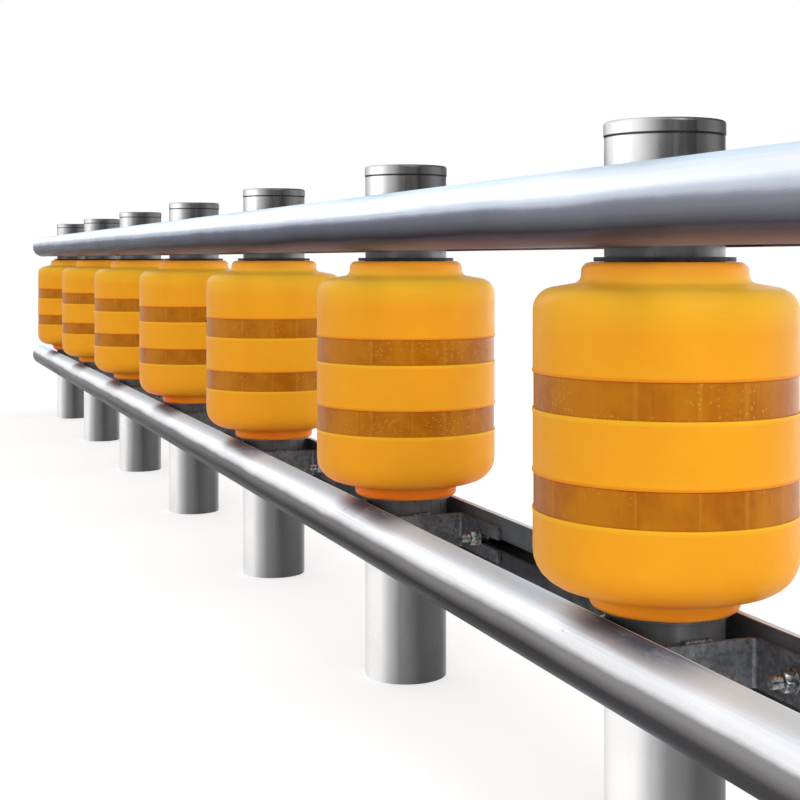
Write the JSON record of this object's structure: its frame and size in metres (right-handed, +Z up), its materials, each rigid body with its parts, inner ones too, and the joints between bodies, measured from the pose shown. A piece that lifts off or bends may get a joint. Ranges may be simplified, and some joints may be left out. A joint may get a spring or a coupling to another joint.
{
  "type": "roller crash barrier section",
  "caption": "Highway guardrail section with rotating roller drums on round steel posts between paired steel rails.",
  "frame": {"origin": "centre of the middle post's foot at ground level", "axes": "+X along the row of posts, +Y away from the road to the back, +Z up"},
  "size_m": [5, 0.25, 0.713],
  "materials": {
    "post_steel": "satin grey coated steel",
    "cap_steel": "satin grey coated steel",
    "rail_steel": "smooth galvanised steel",
    "bracket_steel": "dull hot-dip galvanised plate",
    "bolt_steel": "bright zinc-plated bolts",
    "ring_rubber": "black rubber",
    "roller_foam": "smooth amber foam skin",
    "reflective_band": "amber reflective film"
  },
  "bodies": {
    "barrier": {"post_1": "post_steel", "post_2": "post_steel", "post_3": "post_steel", "post_4": "post_steel", "post_5": "post_steel", "post_6": "post_steel", "post_7": "post_steel", "post_caps": "cap_steel", "seat_rings": "ring_rubber", "washers": "ring_rubber", "front_lower_rail": "rail_steel", "front_upper_rail": "rail_steel", "rear_lower_rail": "rail_steel", "rear_upper_rail": "rail_steel", "lower_brackets": "bracket_steel", "upper_brackets": "bracket_steel"},
    "roller_1_body": {"roller_1": "roller_foam", "upper_band_1": "reflective_band", "lower_band_1": "reflective_band"},
    "roller_2_body": {"roller_2": "roller_foam", "upper_band_2": "reflective_band", "lower_band_2": "reflective_band"},
    "roller_3_body": {"roller_3": "roller_foam", "upper_band_3": "reflective_band", "lower_band_3": "reflective_band"},
    "roller_4_body": {"roller_4": "roller_foam", "upper_band_4": "reflective_band", "lower_band_4": "reflective_band"},
    "roller_5_body": {"roller_5": "roller_foam", "upper_band_5": "reflective_band", "lower_band_5": "reflective_band"},
    "roller_6_body": {"roller_6": "roller_foam", "upper_band_6": "reflective_band", "lower_band_6": "reflective_band"},
    "roller_7_body": {"roller_7": "roller_foam", "upper_band_7": "reflective_band", "lower_band_7": "reflective_band"}
  },
  "joints": [
    {"name": "roller_1_spin", "type": "hinge", "parent": "barrier", "child": "roller_1_body", "pos_m": [-2.1, 0, 0.2535], "axis": [0, 0, 1], "continuous": true},
    {"name": "roller_2_spin", "type": "hinge", "parent": "barrier", "child": "roller_2_body", "pos_m": [-1.4, 0, 0.2535], "axis": [0, 0, 1], "continuous": true},
    {"name": "roller_3_spin", "type": "hinge", "parent": "barrier", "child": "roller_3_body", "pos_m": [-0.7, 0, 0.2535], "axis": [0, 0, 1], "continuous": true},
    {"name": "roller_4_spin", "type": "hinge", "parent": "barrier", "child": "roller_4_body", "pos_m": [0, 0, 0.2535], "axis": [0, 0, 1], "continuous": true},
    {"name": "roller_5_spin", "type": "hinge", "parent": "barrier", "child": "roller_5_body", "pos_m": [0.7, 0, 0.2535], "axis": [0, 0, 1], "continuous": true},
    {"name": "roller_6_spin", "type": "hinge", "parent": "barrier", "child": "roller_6_body", "pos_m": [1.4, 0, 0.2535], "axis": [0, 0, 1], "continuous": true},
    {"name": "roller_7_spin", "type": "hinge", "parent": "barrier", "child": "roller_7_body", "pos_m": [2.1, 0, 0.2535], "axis": [0, 0, 1], "continuous": true}
  ]
}
